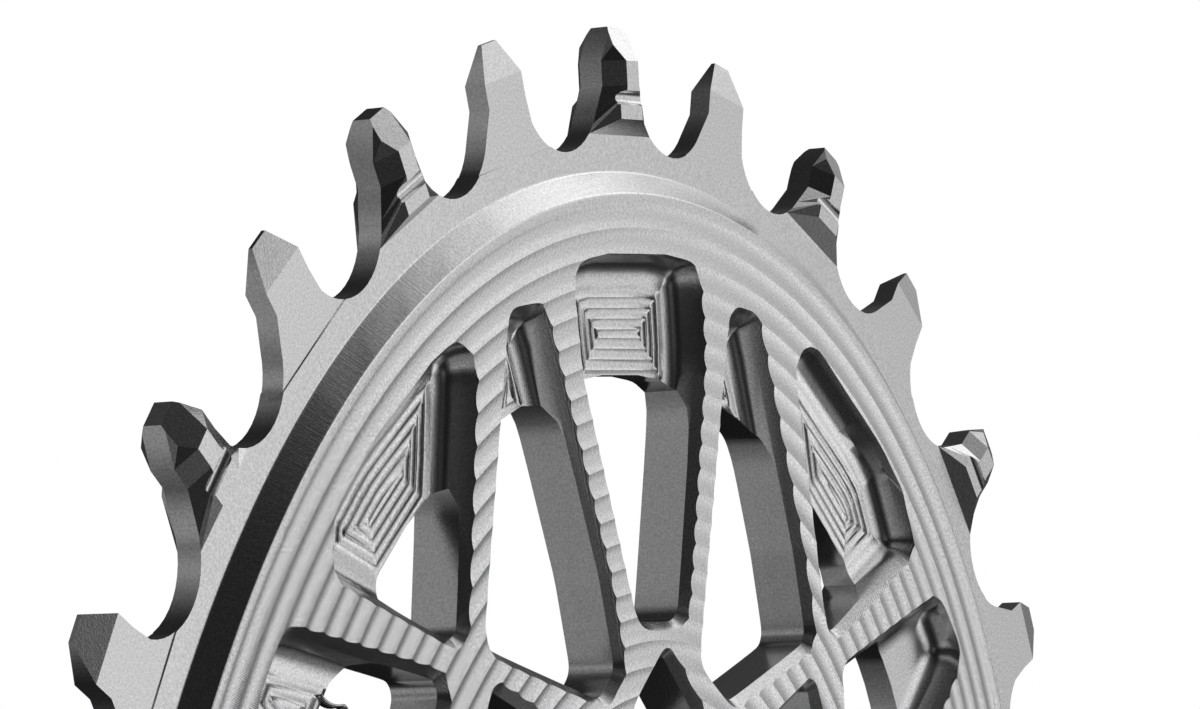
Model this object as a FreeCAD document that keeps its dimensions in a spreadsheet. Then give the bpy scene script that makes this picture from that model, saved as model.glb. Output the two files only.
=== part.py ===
import FreeCAD, Part
import math
import os

# Oval bicycle chainring with narrow and wide teeth and a truss of windows.
# The ring lies flat, its front face up, its centre over the origin and its back face on z = 0.
os.makedirs("parts", exist_ok=True)
doc = FreeCAD.newDocument("chainring")

# Driving sizes in millimetres, angles in degrees.
sheet = doc.addObject("Spreadsheet::Sheet", "sizes")
SIZES = {
    "teeth": 30,
    "chain_pitch": 12.7,
    "oval_share": 0.0708,
    "oval_angle": 67.2,
    "first_valley_angle": 95.0,
    "seat_radius": 4.16,
    "seat_drop": 0.065,
    "seat_half_angle": 65,
    "shoulder_height": 1.25,
    "flank_height": -0.2,
    "drive_half_width": 2.38,
    "trail_half_width": 1.68,
    "tip_height": 3.3,
    "tip_width": 1.6,
    "tip_shift": 0.35,
    "plate_thickness": 1.46,
    "narrow_step": 0.07,
    "narrow_foot": 3.45,
    "narrow_tip_thickness": 0.24,
    "wide_thickness": 3.26,
    "wide_foot": 3.0,
    "wide_foot_slope": 0.85,
    "wide_side_slope": 1.36,
    "wide_tip_thickness": 1.1,
    "groove_width": 0.85,
    "groove_depth": 0.35,
    "groove_drop": 0.9,
    "web_thickness": 3.54,
    "bevel_outer_drop": 5.57,
    "bevel_inner_drop": 6.93,
    "window_drop": 10.3,
    "window_chamfer": 0.6,
    "corner_facet_angle": 30,
    "pocket_depth": 1.7,
    "pocket_round": 1.4,
    "pocket_knee": 0.3,
    "ledge_drop": 17.3,
    "ledge_corner_run": 1.9,
    "oval_chords": 72,
    "hub_radius": 23.5,
    "bore_radius": 14.0,
    "bolt_circle_radius": 18.6,
    "bolt_hole_radius": 2.6,
    "bolt_holes": 3,
    "bolt_first_angle": 35,
}
for row, (alias, value) in enumerate(SIZES.items(), start=1):
    sheet.set("A%d" % row, alias)
    sheet.set("B%d" % row, str(value))
    sheet.setAlias("B%d" % row, alias)
doc.recompute()


def size(alias):
    return float(sheet.get(alias))


def at(x, y, z=0.0):
    return FreeCAD.Vector(x, y, z)


UP = at(0, 0, 1)
count = int(round(size("teeth")))
half_plate = size("plate_thickness") / 2
half_wide = size("wide_thickness") / 2
half_web = size("web_thickness") / 2


# The pitch curve is an oval: its radius swings twice round the turn about a mean radius.
def swing(angle):
    return 1 + size("oval_share") * math.cos(2 * (angle - math.radians(size("oval_angle"))))


def swing_length(steps=2880):
    lengths = [0.0]
    turn = 2 * math.pi / steps
    share = size("oval_share")
    for step in range(steps):
        angle = (step + 0.5) * turn
        slope = -2 * share * math.sin(2 * (angle - math.radians(size("oval_angle"))))
        lengths.append(lengths[-1] + math.hypot(swing(angle), slope) * turn)
    return lengths


LENGTHS = swing_length()
chord_radius = size("chain_pitch") / 2 / math.sin(math.pi / count)
mean_radius = chord_radius * 2 * math.pi / LENGTHS[-1]


def along(angle):
    step = (angle / (2 * math.pi) * (len(LENGTHS) - 1)) % (len(LENGTHS) - 1)
    low = int(step)
    return LENGTHS[low] + (LENGTHS[low + 1] - LENGTHS[low]) * (step - low)


def angle_at(length):
    length = length % LENGTHS[-1]
    low, high = 0, len(LENGTHS) - 1
    while high - low > 1:
        middle = (low + high) // 2
        if LENGTHS[middle] <= length:
            low = middle
        else:
            high = middle
    part = (length - LENGTHS[low]) / (LENGTHS[high] - LENGTHS[low])
    return (low + part) * 2 * math.pi / (len(LENGTHS) - 1)


def oval_point(angle, drop, z):
    radius = mean_radius * swing(angle) - drop
    return at(radius * math.cos(angle), radius * math.sin(angle), z)


def oval_ring(drop, z):
    chords = int(round(size("oval_chords")))
    return [oval_point(2 * math.pi * k / chords, drop, z) for k in range(chords)]


# One roller seat for each chain pitch along the oval.
start = along(math.radians(size("first_valley_angle")))
seats = []
for k in range(count):
    angle = angle_at(start - k * LENGTHS[-1] / count)
    seats.append(oval_point(angle, size("seat_drop"), 0))


class Tooth:
    """Frame of one tooth: along the rim, outward, and the middle between its two seats."""

    def __init__(self, k):
        self.before = seats[k]
        self.after = seats[(k + 1) % count]
        self.middle = (self.before + self.after) * 0.5
        self.side = (self.after - self.before).normalize()
        self.out = self.side.cross(UP) * -1
        self.half_pitch = (self.after - self.before).Length / 2

    def point(self, side, out, z=0.0):
        return self.middle + self.side * side + self.out * out + UP * z

    def seat_point(self, sign, degrees, z=0.0):
        turn = math.radians(degrees)
        side = self.half_pitch - size("seat_radius") * math.sin(turn)
        return self.point(sign * side, -size("seat_radius") * math.cos(turn), z)

    def flank(self, sign, z=0.0):
        width = size("drive_half_width") if sign > 0 else size("trail_half_width")
        tip = size("tip_shift") + sign * size("tip_width") / 2
        return [
            self.seat_point(sign, size("seat_half_angle"), z),
            self.point(sign * width, size("flank_height"), z),
            self.point(sign * width, size("shoulder_height"), z),
            self.point(tip, size("tip_height"), z),
        ]


teeth = [Tooth(k) for k in range(count)]


def lines(points):
    return [Part.makeLine(a, b) for a, b in zip(points, points[1:])]


# Outline of the toothed plate: seat arcs joined by the flanks and tip of each tooth.
edges = []
for k, tooth in enumerate(teeth):
    following = teeth[(k + 1) % count]
    trail = tooth.flank(-1, -half_plate)
    drive = tooth.flank(1, -half_plate)
    edges += lines(trail + drive[::-1])
    bottom = seats[(k + 1) % count] - (tooth.out + following.out).normalize() * size("seat_radius")
    bottom.z = -half_plate
    edges.append(Part.Arc(drive[0], bottom, following.flank(-1, -half_plate)[0]).toShape())
plate = Part.Face(Part.Wire(edges)).extrude(UP * 2 * half_plate)


def face(points):
    return Part.Face(Part.makePolygon(list(points) + [points[0]]))


# Solid between rings of points that lie one over the other, closed by its first and last ring.
# A side that isn't flat is made of two triangles.
def stack(rings):
    faces = [face(rings[0]), face(rings[-1])]
    for low, high in zip(rings, rings[1:]):
        for k in range(len(low)):
            a, b, c, d = low[k - 1], low[k], high[k], high[k - 1]
            across = (b - a).cross(c - a).normalize()
            if abs((d - a).dot(across)) < 1e-7:
                faces.append(face([a, b, c, d]))
            else:
                faces += [face([a, b, c]), face([a, c, d])]
    solid = Part.makeSolid(Part.makeShell(faces))
    if solid.Volume < 0:
        solid.reverse()
    return solid


def mirrored(shape):
    return shape.mirror(at(0, 0, 0), UP)


# A wide tooth carries a boss on each face: sloped sides and foot round a narrow top strip.
def boss(tooth):
    foot = -size("wide_foot")
    slope = size("wide_side_slope")
    top_foot = foot + size("wide_foot_slope")
    low, high = half_plate, half_wide
    base = []
    top = []
    for sign in (-1, 1):
        flank = tooth.flank(sign, low)
        width = size("drive_half_width") if sign > 0 else size("trail_half_width")
        tip = size("tip_shift") + sign * size("tip_width") * 0.2
        foot_turn = math.degrees(math.acos(-foot / size("seat_radius")))
        middle = (foot_turn + size("seat_half_angle")) / 2
        seat_side = (flank[0] - tooth.middle).dot(tooth.side)
        base.append([tooth.seat_point(sign, foot_turn, low), tooth.seat_point(sign, middle, low)] + flank)
        top.append([
            tooth.point(seat_side - sign * slope, top_foot, high),
            tooth.point(seat_side - sign * slope, (top_foot + size("flank_height")) / 2, high),
            tooth.point(sign * (width - slope * 0.92), (top_foot + size("flank_height") * 3) / 4, high),
            tooth.point(sign * (width - slope), size("flank_height"), high),
            tooth.point(sign * (width - slope), size("shoulder_height"), high),
            tooth.point(tip, size("tip_height"), high),
        ])
    return stack([left + right[::-1] for left, right in (base, top)])


# Cutters over one face: the narrow tooth's thin step and tip slope, the wide tooth's tip slope.
def face_cutter(tooth, profile):
    return face([tooth.point(-4.4, out, z) for out, z in profile]).extrude(tooth.side * 8.8)


clear = half_web + 1
beyond = size("tip_height") + 0.5
rise = size("tip_height") - size("shoulder_height")


def tip_profile(body, tip_thickness, foot):
    fall = (body - tip_thickness / 2) / rise
    profile = [(size("shoulder_height"), body), (beyond, body - fall * (beyond - size("shoulder_height")))]
    profile += [(beyond, clear), (foot, clear)]
    return profile


narrow_body = half_plate - size("narrow_step")
narrow_foot = -size("narrow_foot")
narrow_profile = [(narrow_foot, narrow_body)]
narrow_profile += tip_profile(narrow_body, size("narrow_tip_thickness"), narrow_foot)
wide_profile = tip_profile(half_wide, size("wide_tip_thickness"), size("shoulder_height"))

groove_radius = (size("groove_width") ** 2 / 4 + size("groove_depth") ** 2) / (2 * size("groove_depth"))
bosses = []
cutters = []
for k, tooth in enumerate(teeth):
    if k % 2 == 0:
        added = boss(tooth)
        origin = tooth.point(-4.4, -size("groove_drop"), half_wide - size("groove_depth") + groove_radius)
        groove = Part.makeCylinder(groove_radius, 8.8, origin, tooth.side)
        tip_cut = face_cutter(tooth, wide_profile)
        bosses += [added.cut([groove, tip_cut]), mirrored(added.cut(tip_cut))]
    else:
        tip_cut = face_cutter(tooth, narrow_profile)
    cutters += [tip_cut, mirrored(tip_cut)]

# The web stands proud of the toothed plate behind a bevel that follows the oval.
foot_of_bevel = oval_ring(size("bevel_outer_drop"), half_plate)
bevel = stack([foot_of_bevel, oval_ring(size("bevel_inner_drop"), half_web)])
body = plate.cut(cutters)
body = body.fuse([bevel, mirrored(bevel)] + bosses)

# Corners of each window: angle, share of the way from hub to rim, corner radius.
WINDOWS = {
    "wedge": [(96.7, 1.0, 1.8), (96.3, 0.771, 6), (88.3, 0.262, 2), (77.9, 0.287, 2), (79, 0.818, 8), (80.7, 1, 1.8)],
    "slot_left": [(104.8, 0.977, 1.5), (118.6, 0.393, 2), (95.5, 0.114, 1.8), (90.6, 0.183, 1.8),
                  (93.4, 0.379, 8), (100.2, 0.947, 1.5)],
    "slot_right": [(76.7, 0.948, 1.5), (75.3, 0.231, 1.8), (65.9, 0.194, 1.8), (54, 0.492, 1.8),
                   (60.5, 0.62, 8), (72.9, 0.969, 1.5)],
    "triangle_left": [(108.2, 1, 2), (129.9, 1, 2), (133.3, 0.917, 1.8), (120.8, 0.414, 1.6)],
    "triangle_right": [(69.2, 1, 2), (50.4, 0.99, 1.6), (46.2, 0.955, 1.8), (52.3, 0.51, 1.6)],
    "outer_left": [(138.9, 1, 2), (123.4, 0.424, 1.6), (152, 0.156, 2), (146.4, 1, 1.8)],
    "outer_right": [(42.4, 0.982, 2), (50.1, 0.527, 1.6), (28.5, 0.29, 2), (36.4, 1, 1.8)],
    "far_left": [(149.9, 1, 1.8), (150.3, 0.771, 6), (158.3, 0.262, 2), (168.7, 0.287, 2), (167.6, 0.818, 8),
                 (165.9, 1, 1.8)],
    "far_middle": [(169.8, 1, 2), (193, 1, 2), (181.4, 0.42, 1.6)],
    "far_right": [(32.9, 1, 1.8), (32.5, 0.771, 6), (24.5, 0.262, 2), (14.1, 0.287, 2), (15.2, 0.818, 8),
                  (16.9, 1, 1.8)],
}
HUB_WINDOWS = {
    "hub_left": [(117.6, 0.329, 1.2), (100.5, 0.067, 1.2), (102, 0, 1), (126, 0, 1.2), (131, 0.187, 2)],
    "hub_middle": [(82.2, 0.26, 1.2), (71.5, 0.152, 1.6), (70.5, 0, 1.2), (93, 0, 1.2), (89.2, 0.131, 1.6)],
    "hub_right": [(53.3, 0.45, 1.2), (63.2, 0.146, 1.4), (61, 0, 1.2), (38, 0, 1.2), (45, 0.353, 3)],
    "hub_far": [(181.4, 0.26, 1.2), (170.7, 0.152, 1.6), (169.7, 0, 1.2), (193, 0, 1.2), (191.8, 0.152, 1.6)],
}


def window_corner(angle, share, radius):
    turn = math.radians(angle)
    rim = mean_radius * swing(turn) - size("window_drop")
    reach = size("hub_radius") + share * (rim - size("hub_radius"))
    return (reach * math.cos(turn), reach * math.sin(turn), radius)


# Corners in order against the clock; a long rim side gets a soft corner that follows the oval.
def window_corners(corners, centre, gain, shift):
    placed = [((a - centre) * gain + centre + shift, s, r) for a, s, r in corners]
    area = 0.0
    plain = [window_corner(*corner) for corner in placed]
    for (x0, y0, _), (x1, y1, _) in zip(plain, plain[1:] + plain[:1]):
        area += x0 * y1 - x1 * y0
    if area < 0:
        placed = placed[::-1]
    result = []
    for first, second in zip(placed, placed[1:] + placed[:1]):
        result.append(window_corner(*first))
        if min(first[1], second[1]) > 0.97 and abs(first[0] - second[0]) > 9:
            angle = (first[0] + second[0]) / 2
            spread = math.radians(abs(first[0] - second[0]) / 2)
            share = 1 + 0.62 * (1 - math.cos(spread)) * mean_radius / (mean_radius - size("hub_radius"))
            result.append(window_corner(angle, share, 26))
    return result


# Outline with rounded corners, every side moved inwards by an inset, less on the rim side. A
# corner's round is so small that a few short chords keep to it within the width of a hair.
def rounded(corners, inset, z, rim_relief=0.0):
    sides = []
    for (x0, y0, _), (x1, y1, _) in zip(corners, corners[1:] + corners[:1]):
        length = math.hypot(x1 - x0, y1 - y0)
        ux, uy = (x1 - x0) / length, (y1 - y0) / length
        far_out = min(math.hypot(x, y) / rim_limit(x, y) for x, y in ((x0, y0), (x1, y1)))
        moved = inset - (rim_relief if far_out > 0.985 else 0)
        sides.append((x0 - uy * moved, y0 + ux * moved, ux, uy, moved))
    ring = []
    for k, (_, _, radius) in enumerate(corners):
        x0, y0, ax, ay, moved_before = sides[k - 1]
        x1, y1, bx, by, moved_after = sides[k]
        cross = ax * by - ay * bx
        reach = ((x1 - x0) * by - (y1 - y0) * bx) / cross
        turn = math.atan2(cross, ax * bx + ay * by)
        moved = (moved_before + moved_after) / 2
        bent = max(radius - math.copysign(moved, cross), 0.15) * math.copysign(1, cross)
        run = bent * math.tan(turn / 2)
        px, py = x0 + ax * (reach - run), y0 + ay * (reach - run)
        chords = max(1, math.ceil(abs(math.degrees(turn)) / size("corner_facet_angle") - 0.01))
        for chord in range(chords + 1):
            bend = turn * chord / chords
            along_side = bent * math.sin(bend)
            off_side = bent * (1 - math.cos(bend))
            ring.append(at(px + ax * along_side - ay * off_side, py + ay * along_side + ax * off_side, z))
    return ring


def rim_limit(x, y):
    return mean_radius * swing(math.atan2(y, x)) - size("window_drop")


# Point of a ring at a distance from its middle corner, and how many points lie before it.
def along_ring(ring, step, distance):
    k = len(ring) // 2
    while (ring[k + step] - ring[k]).Length < distance:
        distance -= (ring[k + step] - ring[k]).Length
        k += step
    return k, ring[k] + (ring[k + step] - ring[k]).normalize() * distance


# The ledge behind the pockets follows the oval. Each opening turns into it in a soft corner.
def opening_ring(corners, z):
    straight = face(rounded(corners, size("window_chamfer"), z))
    ledge = face(oval_ring(size("ledge_drop"), z))
    ring = [vertex.Point for vertex in straight.common(ledge).Faces[0].OuterWire.OrderedVertexes]
    found = []
    for k, here in enumerate(ring):
        drop = mean_radius * swing(math.atan2(here.y, here.x)) - math.hypot(here.x, here.y)
        bend = (here - ring[k - 1]).getAngle(ring[(k + 1) % len(ring)] - here)
        if abs(drop - size("ledge_drop")) < 0.2 and math.degrees(bend) > 20:
            found.append(here)
    for corner in found:
        shift = ring.index(corner) - len(ring) // 2
        ring = ring[shift:] + ring[:shift]
        before, start = along_ring(ring, -1, size("ledge_corner_run"))
        after, end = along_ring(ring, 1, size("ledge_corner_run"))
        soft = [start * (1 - t) ** 2 + corner * 2 * t * (1 - t) + end * t ** 2 for t in (0, 0.5, 1)]
        ring = ring[:before] + soft + ring[after + 1:]
    return ring


floor = half_web - size("pocket_depth")


# The front edge of each window is chamfered, except on a pocket's rim side. A pocket's floor
# rises to its wall in the round of a ball-ended tool, drawn by two slopes, and stops at the
# ledge, inside which the window goes right through.
def window_cutter(corners, pocket):
    wall = size("window_chamfer")
    if not pocket:
        return [stack([rounded(corners, inset, z) for inset, z in (
            (wall, -clear), (wall, half_web - wall), (0, half_web), (0, clear))])]
    ball = size("pocket_round")
    rise = half_web - wall - floor

    def hollow(height):
        return math.sqrt(ball ** 2 - (ball - height) ** 2)

    knee = size("pocket_knee")
    relief = wall - (ball - hollow(rise))
    levels = [(wall + hollow(rise), floor), (wall + hollow(rise) - hollow(knee), floor + knee)]
    levels += [(wall, half_web - wall)]
    rings = [rounded(corners, inset, z, relief) for inset, z in levels]
    rings += [rounded(corners, 0, half_web), rounded(corners, 0, clear)]
    through = face(opening_ring(corners, -clear)).extrude(UP * (clear + half_web - wall))
    return [stack(rings), through]


windows = []
for half_turn in (0, 180):
    for corners in WINDOWS.values():
        windows += window_cutter(window_corners(corners, 88, 1, half_turn), True)
    for corners in HUB_WINDOWS.values():
        windows += window_cutter(window_corners(corners, 88, 1, half_turn), False)

ring = doc.addObject("Part::Feature", "toothed_ring")
ring.Shape = body
cuts = doc.addObject("Part::Feature", "window_cuts")
cuts.Shape = Part.makeCompound(windows)
truss = doc.addObject("Part::Feature", "truss_ring")
truss.Shape = body.cut(windows)

bore = doc.addObject("Part::Cylinder", "bore")
bore.setExpression("Radius", "sizes.bore_radius")
bore.setExpression("Height", "sizes.web_thickness + 2")
bore.setExpression("Placement.Base.z", "-sizes.web_thickness / 2 - 1")
drills = [bore]
for k in range(int(round(size("bolt_holes")))):
    drill = doc.addObject("Part::Cylinder", "bolt_hole_%d" % (k + 1))
    drill.setExpression("Radius", "sizes.bolt_hole_radius")
    drill.setExpression("Height", "sizes.web_thickness + 2")
    turn = "sizes.bolt_first_angle + %d * 360 / sizes.bolt_holes" % k
    drill.setExpression("Placement.Base.x", "sizes.bolt_circle_radius * cos(1 deg * (%s))" % turn)
    drill.setExpression("Placement.Base.y", "sizes.bolt_circle_radius * sin(1 deg * (%s))" % turn)
    drill.setExpression("Placement.Base.z", "-sizes.web_thickness / 2 - 1")
    drills.append(drill)
doc.recompute()
holes = doc.addObject("Part::MultiFuse", "hub_holes")
holes.Shapes = drills
chainring = doc.addObject("Part::Cut", "chainring")
chainring.Label = "chainring"
chainring.Base = truss
chainring.Tool = holes
chainring.setExpression("Placement.Base.z", "max(sizes.web_thickness; sizes.wide_thickness) / 2")
doc.recompute()

for item in doc.Objects:
    bad = [state for state in item.State if state in ("Invalid", "Error")]
    if bad:
        raise RuntimeError("%s is %s" % (item.Name, bad))
shape = chainring.Shape
if shape.isNull() or not shape.isValid() or len(shape.Solids) != 1:
    raise RuntimeError("the chainring is not one sound solid: %d" % len(shape.Solids))
print("volume mm3", round(shape.Volume, 1), "faces", len(shape.Faces), "mean radius", round(mean_radius, 3))
print("box", shape.BoundBox)
shape.exportStep("parts/%s.step" % chainring.Label)
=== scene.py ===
"""Oval bicycle chainring, milled from one plate of aluminium, lying on a white studio floor."""
import math

import bmesh
import bpy
from mathutils import Matrix, Vector


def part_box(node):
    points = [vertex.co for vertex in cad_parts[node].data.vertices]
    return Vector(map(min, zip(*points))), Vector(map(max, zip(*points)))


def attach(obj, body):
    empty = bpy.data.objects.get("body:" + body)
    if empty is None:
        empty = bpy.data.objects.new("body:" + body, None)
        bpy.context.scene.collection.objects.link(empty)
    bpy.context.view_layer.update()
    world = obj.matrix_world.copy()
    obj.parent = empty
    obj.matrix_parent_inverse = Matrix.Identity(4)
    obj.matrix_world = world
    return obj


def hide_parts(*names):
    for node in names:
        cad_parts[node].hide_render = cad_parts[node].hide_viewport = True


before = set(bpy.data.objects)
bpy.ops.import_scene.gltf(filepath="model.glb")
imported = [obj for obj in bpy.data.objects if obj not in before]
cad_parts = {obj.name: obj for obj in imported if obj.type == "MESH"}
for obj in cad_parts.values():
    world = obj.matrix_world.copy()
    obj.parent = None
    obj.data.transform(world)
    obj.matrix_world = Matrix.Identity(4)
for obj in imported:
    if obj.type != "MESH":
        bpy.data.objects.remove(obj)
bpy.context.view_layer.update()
scene = bpy.context.scene
MM = 0.001

# The oval that the teeth, the bevel and the milled rings follow: its radius swings twice a turn.
MEAN_RADIUS = 60.447 * MM
OVAL_SHARE = 0.0708
OVAL_TURN = math.radians(67.2)

# Heights over the web's flat back.
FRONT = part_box("chainring")[1].z
RING_FACE = 2.5 * MM
POCKET_FLOOR = 1.84 * MM
FLOOR_HEIGHT = -0.1 * MM

# Distances inwards from the oval.
BEVEL_OUTER = 5.57 * MM
BEVEL_INNER = 6.93 * MM
FIRST_CREST = 7.4 * MM

# Grooves that a ball-ended tool leaves round the web.
RINGS = 28
RING_PITCH = 1.5 * MM
RING_DEPTH = 0.11 * MM
GROOVE_CHORDS = 6
TURN_CHORDS = 200

# Passes of the tool on the floor of each pocket.
PASSES = 14
PASS_WIDTH = 0.62 * MM
PASS_FALL = 0.075 * MM
CUTS_PER_PASS = 3
LEAST_FLOOR = 3 * MM * MM
SHORT_SIDE = 0.7 * MM
SIDE_SLACK = 0.45 * MM

# Small rounds: an offset on each side of the edge, or percent of the chord beside it.
RIM_ROUND = 0.09 * MM
RIM_CUTS = 3
HOLLOW_ROUND = 0.38 * MM
CORNER_ROUND = 26

# How near is near, and how much of a bend counts.
SAME_PLACE = 0.0001 * MM
WELD = 0.001 * MM
SAME_HEIGHT = 0.01 * MM
NEAR_RIM = 0.2 * MM
RIM_RISE = 0.6 * MM
RIM_BEND = 0.35
HOLLOW_BENDS = (0.1, 1)
CORNER_TURNS = (9, 50)
MOST_CORNERS = 60
LEVEL_WITHIN = math.radians(0.4)

# Bends in degrees from which an edge is shaded sharp.
SHARP_PLAIN = 5
SHARP_WALL = 31
SHARP_WEB = 22

# The photograph and the lens solved from its teeth, in pixels.
PHOTO_WIDTH = 1200
PHOTO_HEIGHT = 709
FOCAL_LENGTH = 5500.39
LENS_AXIS = (662.374, 491.059)
SENSOR = 36


# Shader nodes, made by arithmetic
class Value:
    """A socket whose arithmetic adds Math nodes."""

    def __init__(self, maker, socket):
        self.maker = maker
        self.socket = socket

    def math(self, operation, *others):
        return self.maker.node("ShaderNodeMath", {"operation": operation}, [self, *others])

    def __add__(self, other):
        return self.math("ADD", other)

    def __sub__(self, other):
        return self.math("SUBTRACT", other)

    def __mul__(self, other):
        return self.math("MULTIPLY", other)

    def __truediv__(self, other):
        return self.math("DIVIDE", other)

    def __radd__(self, other):
        return self.maker.node("ShaderNodeMath", {"operation": "ADD"}, [other, self])

    def __rsub__(self, other):
        return self.maker.node("ShaderNodeMath", {"operation": "SUBTRACT"}, [other, self])

    def __rmul__(self, other):
        return self.maker.node("ShaderNodeMath", {"operation": "MULTIPLY"}, [other, self])

    def sine(self):
        return self.math("SINE")

    def cosine(self):
        return self.math("COSINE")

    def root(self):
        return self.math("SQRT")

    def exp(self):
        return self.math("EXPONENT")

    def floor(self):
        return self.math("FLOOR")

    def above(self, edge, soft):
        """0 below the edge, 1 above it, with a ramp as wide as soft."""
        ramp = (self - edge) / soft + 0.5
        ramp.socket.node.use_clamp = True
        return ramp


class Maker:
    """Makes and links the nodes of one material or world."""

    def __init__(self, owner):
        owner.use_nodes = True
        self.tree = owner.node_tree
        self.tree.nodes.clear()

    def node(self, kind, settings=None, inputs=(), output=0):
        made = self.tree.nodes.new(kind)
        for name, value in (settings or {}).items():
            setattr(made, name, value)
        pairs = inputs.items() if isinstance(inputs, dict) else enumerate(inputs)
        for key, value in pairs:
            if isinstance(value, Value):
                self.tree.links.new(value.socket, made.inputs[key])
            else:
                made.inputs[key].default_value = value
        return Value(self, made.outputs[output]) if made.outputs else made

    def place(self):
        """Object coordinates as three values and one vector."""
        vector = self.node("ShaderNodeTexCoord", output="Object")
        split = self.node("ShaderNodeSeparateXYZ", inputs=[vector])
        return vector, [Value(self, socket) for socket in split.socket.node.outputs]


# Studio: a white floor and surroundings for the camera, soft lights by direction for the metal.
# Each light is (direction, width in degrees, strength). The first eleven make the photograph's tones.
LIGHT_LOBES = [
    ((0.84, 0.49, 0.22), 25, 0.82),
    ((0.55, 0.72, 0.42), 14, 0.55),
    ((0.766, 0.574, 0.287), 12, 0.86),
    ((0.82, -0.03, 0.57), 13, 0.66),
    ((0.70, 0.27, 0.66), 10, 1.0),
    ((0.70, -0.20, 0.68), 10, 1.05),
    ((0.88, -0.10, 0.46), 10, 0.1),
    ((-0.90, 0.20, -0.40), 20, 0.28),
    ((-0.60, -0.50, -0.60), 20, 0.34),
    ((-0.40, 0.30, -0.85), 25, 0.4),
    ((0.30, 0.95, -0.10), 14, 0.12),
    # Weak lights that keep the part readable from the other sides.
    ((-0.62, -0.56, 0.52), 18, 0.38),
    ((-0.61, 0.61, 0.50), 17, 0.3),
    ((0.58, -0.60, 0.55), 14, 0.4),
    ((-0.20, -0.85, 0.45), 14, 0.2),
    ((0.0, 0.97, 0.25), 14, 0.31),
    ((0.05, -0.1, 1.0), 11, 0.12),
]
LIGHT_REST = 0.01


def light_world():
    """White for the camera, and for the metal the sum of all soft lights."""
    world = bpy.data.worlds.new("studio_light")
    maker = Maker(world)
    direction = maker.node("ShaderNodeTexCoord", output="Generated")
    total = None
    for towards, width, strength in LIGHT_LOBES:
        axis = Vector(towards).normalized()
        facing = maker.node(
            "ShaderNodeVectorMath", {"operation": "DOT_PRODUCT"}, [direction, axis], "Value")
        sharpness = 1 / (1 - math.cos(math.radians(width)))
        lobe = ((facing - 1) * sharpness).exp() * strength
        total = lobe if total is None else total + lobe
    total = total + LIGHT_REST
    soft = maker.node("ShaderNodeBackground", inputs={"Strength": total})
    white = maker.node("ShaderNodeBackground", inputs={"Color": (1, 1, 1, 1)})
    seen = maker.node("ShaderNodeLightPath", output="Is Camera Ray")
    both = maker.node("ShaderNodeMixShader", inputs=[seen, soft, white])
    maker.node("ShaderNodeOutputWorld", inputs=[both])
    scene.world = world


def white_floor():
    """A floor that glows white for the camera only, just under the flat back."""
    shape = bmesh.new()
    under = Matrix.Translation((0, 0, FLOOR_HEIGHT))
    bmesh.ops.create_grid(shape, x_segments=1, y_segments=1, size=3, matrix=under)
    mesh = bpy.data.meshes.new("floor")
    shape.to_mesh(mesh)
    floor = bpy.data.objects.new("floor", mesh)
    scene.collection.objects.link(floor)
    paint = bpy.data.materials.new("white_floor")
    maker = Maker(paint)
    glow = maker.node("ShaderNodeEmission", inputs={"Color": (1, 1, 1, 1)})
    maker.node("ShaderNodeOutputMaterial", inputs=[glow])
    mesh.materials.append(paint)
    floor.visible_glossy = False
    floor.visible_diffuse = False


def place_camera():
    """The photograph's camera, as solved from the eleven visible teeth."""
    lens = bpy.data.cameras.new("lens")
    lens.sensor_width = SENSOR
    lens.lens = FOCAL_LENGTH / PHOTO_WIDTH * SENSOR
    lens.shift_x = (PHOTO_WIDTH / 2 - LENS_AXIS[0]) / PHOTO_WIDTH
    lens.shift_y = (LENS_AXIS[1] - PHOTO_HEIGHT / 2) / PHOTO_WIDTH
    lens.clip_start = 0.01
    lens.clip_end = 10
    camera = bpy.data.objects.new("camera", lens)
    scene.collection.objects.link(camera)
    scene.camera = camera
    right = (0.5006, -0.0129, 0.8656)
    up = (-0.0562, 0.9973, 0.0473)
    back = (-0.8639, -0.0723, 0.4985)
    turn = Matrix((right, up, back)).transposed().to_4x4()
    camera.matrix_world = Matrix.Translation((-0.27094, 0.0166, 0.16202)) @ turn


# Milled metal
def rim_reach(angle):
    """The oval's radius at this angle."""
    return MEAN_RADIUS * (1 + OVAL_SHARE * math.cos(2 * (angle - OVAL_TURN)))


def drop_at(place):
    """How far this place lies inwards of the oval."""
    return rim_reach(math.atan2(place.y, place.x)) - place.xy.length


def add_object(name, shape):
    mesh = bpy.data.meshes.new(name)
    shape.to_mesh(mesh)
    shape.free()
    made = bpy.data.objects.new(name, mesh)
    scene.collection.objects.link(made)
    return made


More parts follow.
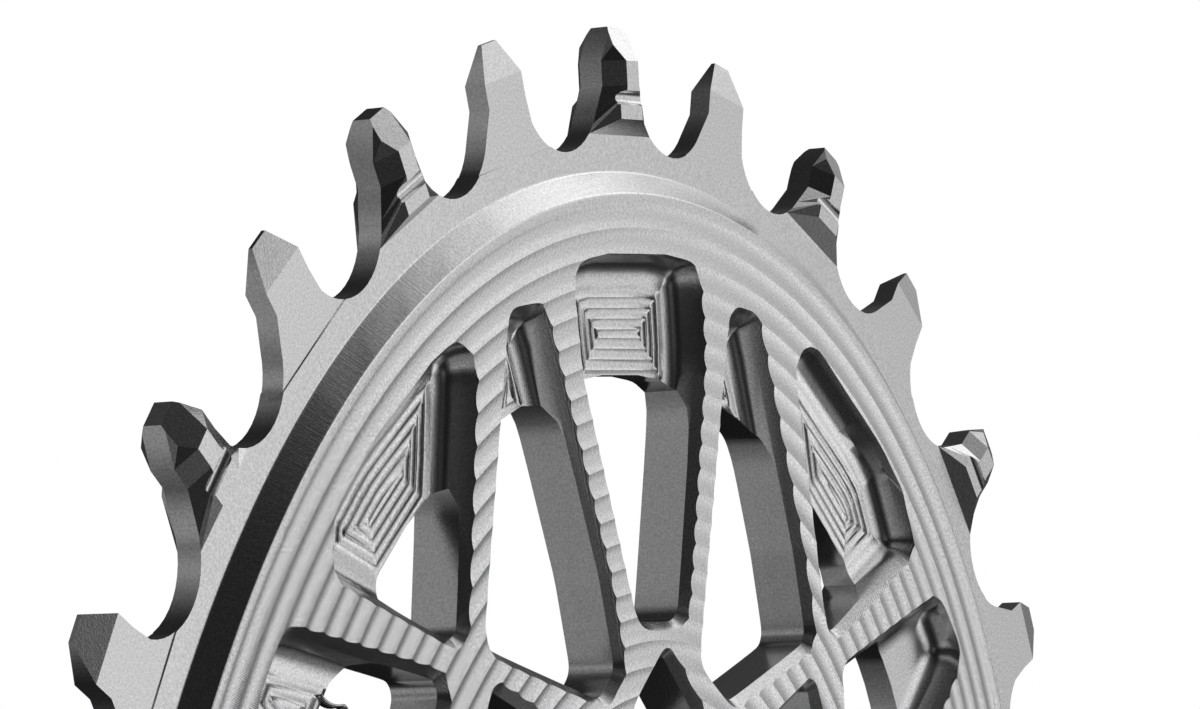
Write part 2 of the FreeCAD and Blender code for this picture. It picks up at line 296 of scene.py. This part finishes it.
def ring_cutter():
    """Solid whose underside is a row of shallow hollows, spun round and pushed out to the oval."""
    shape = bmesh.new()
    radius = RING_PITCH ** 2 / (8 * RING_DEPTH) + RING_DEPTH / 2
    half = math.asin(RING_PITCH / 2 / radius)
    start = MEAN_RADIUS - FIRST_CREST
    first = last = shape.verts.new((start, 0, FRONT))
    for k in range(RINGS):
        hub = (start - (k + 0.5) * RING_PITCH, 0, FRONT + radius * math.cos(half))
        swept = bmesh.ops.spin(
            shape, geom=[last], cent=hub, axis=(0, 1, 0), angle=2 * half,
            steps=GROOVE_CHORDS)
        last = swept["geom_last"][0]
    above = 2 * MM
    corner = [shape.verts.new((v.co.x, 0, FRONT + above)) for v in (last, first)]
    for a, b in ((last, corner[0]), corner, (corner[1], first)):
        shape.edges.new((a, b))
    bmesh.ops.spin(
        shape, geom=shape.verts[:] + shape.edges[:], cent=(0, 0, 0), axis=(0, 0, 1),
        angle=2 * math.pi, steps=TURN_CHORDS, use_merge=True)
    for v in shape.verts:
        angle = math.atan2(v.co.y, v.co.x)
        reach = math.hypot(v.co.x, v.co.y)
        push = (reach + rim_reach(angle) - MEAN_RADIUS) / reach
        v.co.x *= push
        v.co.y *= push
    bmesh.ops.remove_doubles(shape, verts=shape.verts[:], dist=SAME_PLACE)
    bmesh.ops.recalc_face_normals(shape, faces=shape.faces[:])
    return add_object("ring_cutter", shape)


def pocket_floors(shape):
    """The level floors of the pockets, but not the small flats beside them."""
    return [
        f for f in shape.faces
        if f.normal.z > 0.999 and abs(f.calc_center_median().z - POCKET_FLOOR) < 2 * SAME_HEIGHT
        and f.calc_area() > LEAST_FLOOR]


def inside_bevel(edge):
    """True for an edge of the web and its windows."""
    middle = (edge.verts[0].co + edge.verts[1].co) / 2
    return drop_at(middle) > BEVEL_INNER + NEAR_RIM


def soften_corners(shape):
    """Finer rounds on the upright edges between the chords of each window's corners."""
    upright = []
    for e in shape.edges:
        if len(e.link_faces) != 2 or not inside_bevel(e):
            continue
        a, b = (f.normal for f in e.link_faces)
        if max(abs(a.z), abs(b.z)) > 0.97 or abs(a.z - b.z) > 0.2:
            continue
        if abs(e.verts[0].co.z - e.verts[1].co.z) < 0.1 * MM:
            continue
        turn = math.degrees(a.xy.angle(b.xy, 0))
        if CORNER_TURNS[0] < turn < CORNER_TURNS[1]:
            upright.append(e)
    bmesh.ops.bevel(
        shape, geom=upright, affect="EDGES", offset_type="PERCENT", offset=CORNER_ROUND, segments=2,
        profile=0.5, material=-1, clamp_overlap=True)
    shape.normal_update()


def on_rim(v, drop, height, rise):
    """True for a vertex at this drop from the oval and about this height."""
    return abs(drop_at(v.co) - drop) < NEAR_RIM and abs(v.co.z - height) < rise


def bevel_rims(shape):
    """The level edges of the front bevel's outer and inner rim."""
    rims = []
    for e in shape.edges:
        level = abs(e.verts[0].co.z - e.verts[1].co.z) < SAME_HEIGHT
        outer = all(on_rim(v, BEVEL_OUTER, RING_FACE, RIM_RISE) for v in e.verts)
        inner = all(on_rim(v, BEVEL_INNER, FRONT, SAME_HEIGHT) for v in e.verts)
        bent = len(e.link_faces) == 2 and e.calc_face_angle(0) > RIM_BEND
        if level and (outer or inner) and bent:
            rims.append(e)
    return rims


def round_rims(shape):
    """Finer chords along the bevel's two rims, pushed out to the oval."""
    bmesh.ops.subdivide_edges(shape, edges=bevel_rims(shape), cuts=RIM_CUTS, use_grid_fill=True)
    shape.normal_update()
    for v in {v for e in bevel_rims(shape) for v in e.verts}:
        drop = drop_at(v.co)
        wanted = min(BEVEL_OUTER, BEVEL_INNER, key=lambda rim: abs(drop - rim))
        push = 1 + (drop - wanted) / v.co.xy.length
        v.co.x *= push
        v.co.y *= push
    shape.normal_update()


def soften_bevel(shape):
    """The small rounds along the bevel's two rims, which catch the light as thin lines."""
    bmesh.ops.bevel(
        shape, geom=bevel_rims(shape), affect="EDGES", offset=RIM_ROUND, segments=2, profile=0.5,
        material=-1, clamp_overlap=True)
    shape.normal_update()


def soften_hollows(shape):
    """The ball-ended tool leaves a hollow round between a pocket's floor and its wall."""
    bends = []
    for e in shape.edges:
        if len(e.link_faces) != 2 or not inside_bevel(e):
            continue
        z = [v.co.z for v in e.verts]
        level = abs(z[0] - z[1]) < SAME_HEIGHT
        by_floor = POCKET_FLOOR - SAME_HEIGHT < z[0] < POCKET_FLOOR + 0.5 * MM
        open_above = min(f.normal.z for f in e.link_faces) > 0.2
        if level and by_floor and open_above and HOLLOW_BENDS[0] < e.calc_face_angle(0) < HOLLOW_BENDS[1]:
            bends.append(e)
    bmesh.ops.bevel(
        shape, geom=bends, affect="EDGES", offset=HOLLOW_ROUND, segments=3, profile=0.5, material=-1,
        clamp_overlap=False)
    shape.normal_update()


def floor_sides(floor):
    """The straight sides of a pocket floor: a point and the way inwards. The ledge counts as one."""
    sides, ledge = [], []
    for corner in floor.loops:
        a, b = corner.vert.co.copy(), corner.link_loop_next.vert.co.copy()
        other = [f for f in corner.edge.link_faces if f != floor][0]
        if other.calc_center_median().z < a.z - SAME_HEIGHT:
            ledge.append((a, b))
        elif (b - a).length > SHORT_SIDE:
            sides.append((a, floor.normal.cross(b - a).normalized()))
    if ledge:
        starts, ends = [a for a, _ in ledge], [b for _, b in ledge]
        first = [a for a in starts if all((a - b).length > SAME_PLACE for b in ends)]
        last = [b for b in ends if all((b - a).length > SAME_PLACE for a in starts)]
        # A ledge that closes on itself has no first and no last corner.
        a = first[0] if first else starts[0]
        b = last[0] if last else ends[-1]
        sides.append((a, floor.normal.cross(b - a).normalized()))
    corners = [v.co for v in floor.verts]
    return [
        (point, inward) for point, inward in sides
        if min((place - point).dot(inward) for place in corners) > -SIDE_SLACK]


def terrace(shape, floors):
    """Nested passes of the tool on each floor: shallow hollows with a ridge between two of them."""
    step = PASS_WIDTH / CUTS_PER_PASS
    for floor in floors:
        sides = floor_sides(floor)

        def depth_at(place):
            return min((place - point).dot(inward) for point, inward in sides)

        inner, touched = [floor], {floor}
        for k in range(1, CUTS_PER_PASS * PASSES):
            for point, inward in sides:
                edges = {e for f in inner for e in f.edges}
                verts = {v for f in inner for v in f.verts}
                made = bmesh.ops.bisect_plane(
                    shape, geom=[*inner, *edges, *verts], dist=SAME_PLACE,
                    plane_co=point + inward * k * step, plane_no=inward)
                inner = [g for g in made["geom"] if isinstance(g, bmesh.types.BMFace)]
                touched |= set(inner)
            inner = [f for f in inner if depth_at(f.calc_center_median()) > k * step + WELD]
            if not inner:
                break
        for v in {v for f in touched for v in f.verts}:
            passed = depth_at(v.co) / PASS_WIDTH
            from_ridge = abs(passed - round(passed))
            if passed > 0.1:
                v.co.z -= PASS_FALL * min(1, CUTS_PER_PASS * from_ridge)
    cut_floors = [
        f for f in shape.faces
        if len(f.verts) > 3 and f.normal.z > 0.8
        and abs(f.calc_center_median().z - POCKET_FLOOR) < 0.1 * MM]
    bmesh.ops.triangulate(shape, faces=cut_floors)


def milled_ring():
    """A copy of the CAD's chainring with softer corners, bevel and pockets, and milled floors."""
    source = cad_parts["chainring"].data.copy()
    if "custom_normal" in source.attributes:
        source.attributes.remove(source.attributes["custom_normal"])
    shape = bmesh.new()
    shape.from_mesh(source)
    bpy.data.meshes.remove(source)
    bmesh.ops.remove_doubles(shape, verts=shape.verts[:], dist=WELD)
    bmesh.ops.dissolve_limit(
        shape, angle_limit=LEVEL_WITHIN, use_dissolve_boundaries=False, verts=shape.verts[:],
        edges=shape.edges[:])
    # The flat back would else be one face with over 500 corners, which fills a window when it is cut.
    large = [f for f in shape.faces if len(f.verts) > MOST_CORNERS]
    bmesh.ops.triangulate(shape, faces=large)
    shape.normal_update()
    soften_corners(shape)
    round_rims(shape)
    soften_bevel(shape)
    soften_hollows(shape)
    terrace(shape, pocket_floors(shape))
    shape.normal_update()
    return add_object("milled_chainring", shape)


def swarf_curl():
    """A thin chip that hangs on the edge of the near left window and curls at its end."""
    shape = bmesh.new()
    root = Vector((-29.9, 27.0, 1.5)) * MM
    tip = root + Vector((0.1, 0.1, 0.55)) * MM
    low, high = shape.verts.new(root), shape.verts.new(tip)
    sweep = [low, high, shape.edges.new((low, high))]
    heading = math.radians(-38)
    # Each bend is (radius in mm, turn in degrees, lift in mm at each step).
    for radius, turn, lift in ((2.6, 48, 0), (0.42, -230, 0.01)):
        ends = [g.co for g in sweep if isinstance(g, bmesh.types.BMVert)]
        middle = sum(ends, Vector()) / 2
        aside = Vector((-math.sin(heading), math.cos(heading), 0)) * math.copysign(radius, turn) * MM
        swept = bmesh.ops.spin(
            shape, geom=sweep, cent=middle + aside, axis=(0, 0, 1), dvec=(0, 0, lift * MM),
            angle=math.radians(turn), steps=10)
        sweep = swept["geom_last"]
        heading += math.radians(turn)
    bmesh.ops.recalc_face_normals(shape, faces=shape.faces[:])
    bmesh.ops.solidify(shape, geom=shape.faces[:], thickness=0.09 * MM)
    for f in shape.faces:
        f.smooth = True
    return add_object("swarf_curl", shape)


def cut_away(target, cutter):
    """Cut the cutter out of the target for good, and remove it and both old meshes."""
    cut = target.modifiers.new("rings", "BOOLEAN")
    cut.operation = "DIFFERENCE"
    cut.solver = "MANIFOLD"
    cut.object = cutter
    graph = bpy.context.evaluated_depsgraph_get()
    mesh = bpy.data.meshes.new_from_object(target.evaluated_get(graph))
    target.modifiers.clear()
    old_meshes = [target.data, cutter.data]
    target.data = mesh
    bpy.data.objects.remove(cutter)
    for old in old_meshes:
        bpy.data.meshes.remove(old)


def mark_sharp_edges(made):
    """Smooth shading, broken at the edges of the web and at every bend of the teeth and the rim."""
    shape = bmesh.new()
    shape.from_mesh(made.data)
    bmesh.ops.remove_doubles(shape, verts=shape.verts[:], dist=WELD)
    shape.normal_update()
    for f in shape.faces:
        f.smooth = True
    for e in shape.edges:
        if len(e.link_faces) != 2:
            continue
        bend = math.degrees(e.calc_face_angle(0))
        drop = (drop_at(e.verts[0].co) + drop_at(e.verts[1].co)) / 2
        if all(abs(f.normal.z) < 0.3 for f in e.link_faces):
            e.smooth = bend < SHARP_WALL
        elif drop < BEVEL_INNER + 0.1 * MM:
            e.smooth = bend < SHARP_PLAIN
        else:
            e.smooth = bend < SHARP_WEB
    shape.to_mesh(made.data)
    shape.free()
    even = made.modifiers.new("flat_faces", "WEIGHTED_NORMAL")
    even.keep_sharp = True


def aluminium():
    """Bare milled metal: fine grain, and the cutter's strokes on grooves, bevel and walls."""
    paint = bpy.data.materials.new("milled_aluminium")
    maker = Maker(paint)
    place, (x, y, z) = maker.place()
    angle = y.math("ARCTAN2", x)
    reach = (x * x + y * y).root()
    drop = MEAN_RADIUS * (1 + OVAL_SHARE * ((angle - OVAL_TURN) * 2).cosine()) - reach
    web = drop.above(BEVEL_INNER + 0.1 * MM, 0.1 * MM) * z.above(3.3 * MM, 0.05 * MM)
    between_rims = drop.above(BEVEL_OUTER, 0.05 * MM) * (1 - drop.above(BEVEL_INNER, 0.05 * MM))
    bevel = between_rims * z.above(2.4 * MM, 0.1 * MM)

    def grain(scale, stretched=None, detail=2):
        settings = {"Vector": stretched or place, "Scale": scale, "Detail": detail, "Roughness": 0.6}
        return maker.node("ShaderNodeTexNoise", inputs=settings, output="Fac")

    def spread(a, b, c):
        return maker.node("ShaderNodeCombineXYZ", inputs=[a, b, c])

    groove = ((drop - FIRST_CREST) / RING_PITCH).floor()
    along = angle * (MEAN_RADIUS - FIRST_CREST - groove * RING_PITCH)
    front = z.above(0.6 * MM, 0.6 * MM)
    wander = grain(900)
    stroke_turns = 2 * math.pi / (0.14 * MM)
    stroke = ((along + drop * 0.25) * stroke_turns + wander * 5).sine() * 0.5 + 0.5
    across = grain(1, spread(angle * MEAN_RADIUS * 5500 + drop * 1500, drop * 500, 0))
    upright = grain(1, spread(x * 7000, y * 7000, z * 500))
    fine = grain(9000)
    coarse = grain(2600)
    grained = (fine * 0.7 + coarse * 0.35) * (front * 0.75 + 0.25)
    walls = upright * (front - web * front) * 0.3
    height = grained + walls + stroke * web * 0.4 + across * bevel * 1.1
    bumped = maker.node(
        "ShaderNodeBump", inputs={"Strength": 1, "Distance": 0.0075 * MM, "Height": height})
    mottle = grain(7000, detail=3)
    tone = 0.44 + mottle * 0.76
    colour = maker.node("ShaderNodeCombineColor", inputs=[tone, tone, tone * 1.01])
    metal = maker.node("ShaderNodeBsdfPrincipled", inputs={
        "Base Color": colour, "Metallic": 1, "Roughness": 0.14 + fine * 0.1, "Normal": bumped})
    maker.node("ShaderNodeOutputMaterial", inputs=[metal])
    return paint


light_world()
white_floor()
place_camera()
ring = milled_ring()
cut_away(ring, ring_cutter())
ring.data.name = "milled_chainring"
ring.data.materials.clear()
ring.data.materials.append(aluminium())
mark_sharp_edges(ring)
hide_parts("chainring")
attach(ring, "root")
curl = swarf_curl()
curl.data.materials.append(ring.data.materials[0])
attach(curl, "root")
scene.view_settings.view_transform = "Standard"
